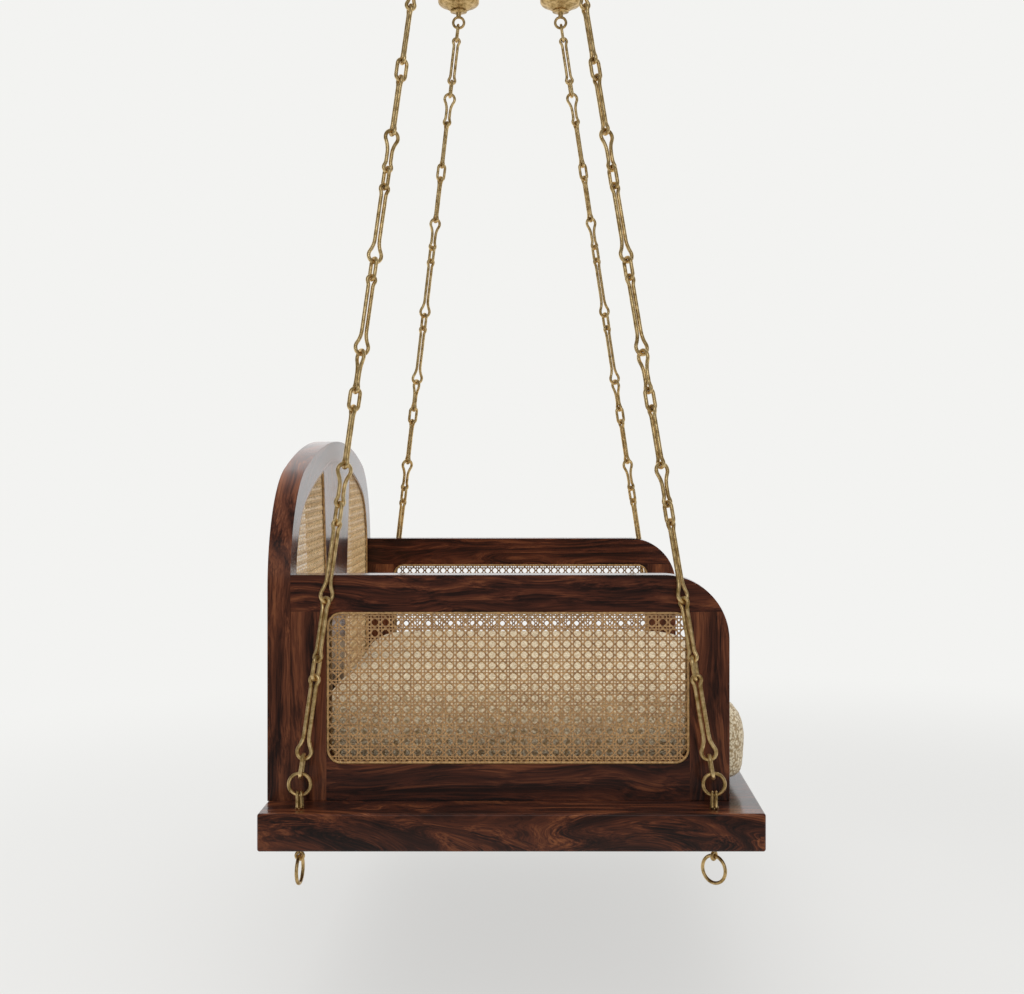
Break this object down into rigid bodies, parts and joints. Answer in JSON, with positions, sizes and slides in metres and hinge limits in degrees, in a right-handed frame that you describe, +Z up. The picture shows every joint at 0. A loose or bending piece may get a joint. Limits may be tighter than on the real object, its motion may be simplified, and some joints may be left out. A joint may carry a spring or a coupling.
{
  "type": "hanging swing seat",
  "caption": "Wooden swing seat with arched cane back, cane arms and a cushion, hung by link chains from ceiling hooks.",
  "frame": {"origin": "centre of the four ceiling studs, on the ceiling plane where the four roses rest", "axes": "+X the way the sitter faces, +Y the sitter's left, +Z up"},
  "size_m": [0.6, 0.9, 1.3353],
  "materials": {
    "board": "polished dark wood, long figured grain",
    "frame": "polished dark wood, straight grain",
    "cane": "woven natural cane",
    "spline": "satin reed",
    "cushion": "looped woollen cloth",
    "fittings": "aged, satin",
    "chain": "aged, satin",
    "screws": "plain"
  },
  "bodies": {
    "ceiling_fittings": {"ceiling_rose_rear_right": "fittings", "ceiling_hook_rear_right": "fittings", "ceiling_rose_rear_left": "fittings", "ceiling_hook_rear_left": "fittings", "ceiling_rose_front_right": "fittings", "ceiling_hook_front_right": "fittings", "ceiling_rose_front_left": "fittings", "ceiling_hook_front_left": "fittings"},
    "seat": {"platform_board": "board", "back_arch_rim": "frame", "back_bottom_rail": "frame", "back_splat": "frame", "right_arm_top_rail": "frame", "right_arm_bottom_rail": "frame", "right_arm_rear_stile": "frame", "right_arm_front_stile": "frame", "right_arm_cane": "cane", "back_cane_right": "cane", "right_arm_cane_spline": "spline", "right_arm_inner_bead": "spline", "left_arm_top_rail": "frame", "left_arm_bottom_rail": "frame", "left_arm_rear_stile": "frame", "left_arm_front_stile": "frame", "left_arm_cane": "cane", "back_cane_left": "cane", "left_arm_cane_spline": "spline", "left_arm_inner_bead": "spline", "back_cane_splines": "spline", "back_rear_beads": "spline", "seat_cushion": "cushion", "platform_screws": "screws", "chain_ring_rear_right": "fittings", "eye_bolt_rear_right": "fittings", "eye_nut_rear_right": "fittings", "chain_ring_rear_left": "fittings", "eye_bolt_rear_left": "fittings", "eye_nut_rear_left": "fittings", "chain_ring_front_right": "fittings", "eye_bolt_front_right": "fittings", "eye_nut_front_right": "fittings", "chain_ring_front_left": "fittings", "eye_bolt_front_left": "fittings", "eye_nut_front_left": "fittings"},
    "chain_rear_right": {"chain_rear_right_oval_links": "chain", "chain_rear_right_pear_links": "chain", "chain_rear_right_long_links": "chain"},
    "chain_rear_left": {"chain_rear_left_oval_links": "chain", "chain_rear_left_pear_links": "chain", "chain_rear_left_long_links": "chain"},
    "chain_front_right": {"chain_front_right_oval_links": "chain", "chain_front_right_pear_links": "chain", "chain_front_right_long_links": "chain"},
    "chain_front_left": {"chain_front_left_oval_links": "chain", "chain_front_left_pear_links": "chain", "chain_front_left_long_links": "chain"},
    "lower_ring_rear_right": {"lower_ring_rear_right": "fittings"},
    "lower_ring_rear_left": {"lower_ring_rear_left": "fittings"},
    "lower_ring_front_right": {"lower_ring_front_right": "fittings"},
    "lower_ring_front_left": {"lower_ring_front_left": "fittings"}
  },
  "joints": [
    {"name": "swing_rear_right", "type": "hinge", "parent": "ceiling_fittings", "child": "chain_rear_right", "pos_m": [-0.087, -0.302, -0.045], "axis": [0, 1, 0], "range_deg": [-12, 12]},
    {"name": "swing_rear_left", "type": "hinge", "parent": "ceiling_fittings", "child": "chain_rear_left", "pos_m": [-0.087, 0.302, -0.045], "axis": [0, 1, 0], "range_deg": [-12, 12]},
    {"name": "swing_front_right", "type": "hinge", "parent": "ceiling_fittings", "child": "chain_front_right", "pos_m": [0.087, -0.302, -0.045], "axis": [0, 1, 0], "range_deg": [-12, 12]},
    {"name": "swing_front_left", "type": "hinge", "parent": "ceiling_fittings", "child": "chain_front_left", "pos_m": [0.087, 0.302, -0.045], "axis": [0, 1, 0], "range_deg": [-12, 12]},
    {"name": "seat_tilt", "type": "hinge", "parent": "chain_rear_right", "child": "seat", "pos_m": [-0.2305, -0.423, -1.1755], "axis": [0, 1, 0], "range_deg": [-5, 5]},
    {"name": "lower_ring_rear_right", "type": "hinge", "parent": "seat", "child": "lower_ring_rear_right", "pos_m": [-0.2305, -0.423, -1.2606], "axis": [0.0698, 0.9976, 0], "range_deg": [-60, 60]},
    {"name": "lower_ring_rear_left", "type": "hinge", "parent": "seat", "child": "lower_ring_rear_left", "pos_m": [-0.2305, 0.423, -1.2606], "axis": [0.4695, -0.8829, 0], "range_deg": [-60, 60]},
    {"name": "lower_ring_front_right", "type": "hinge", "parent": "seat", "child": "lower_ring_front_right", "pos_m": [0.265, -0.423, -1.2606], "axis": [0.7547, -0.6561, 0], "range_deg": [-60, 60]},
    {"name": "lower_ring_front_left", "type": "hinge", "parent": "seat", "child": "lower_ring_front_left", "pos_m": [0.265, 0.423, -1.2606], "axis": [0.7431, 0.6691, 0], "range_deg": [-60, 60]}
  ],
  "couplings": [
    {"joint": "swing_rear_left", "follows": "swing_rear_right", "ratio": 1},
    {"joint": "swing_front_right", "follows": "swing_rear_right", "ratio": 1},
    {"joint": "swing_front_left", "follows": "swing_rear_right", "ratio": 1},
    {"joint": "seat_tilt", "follows": "swing_rear_right", "ratio": -0.35116}
  ]
}
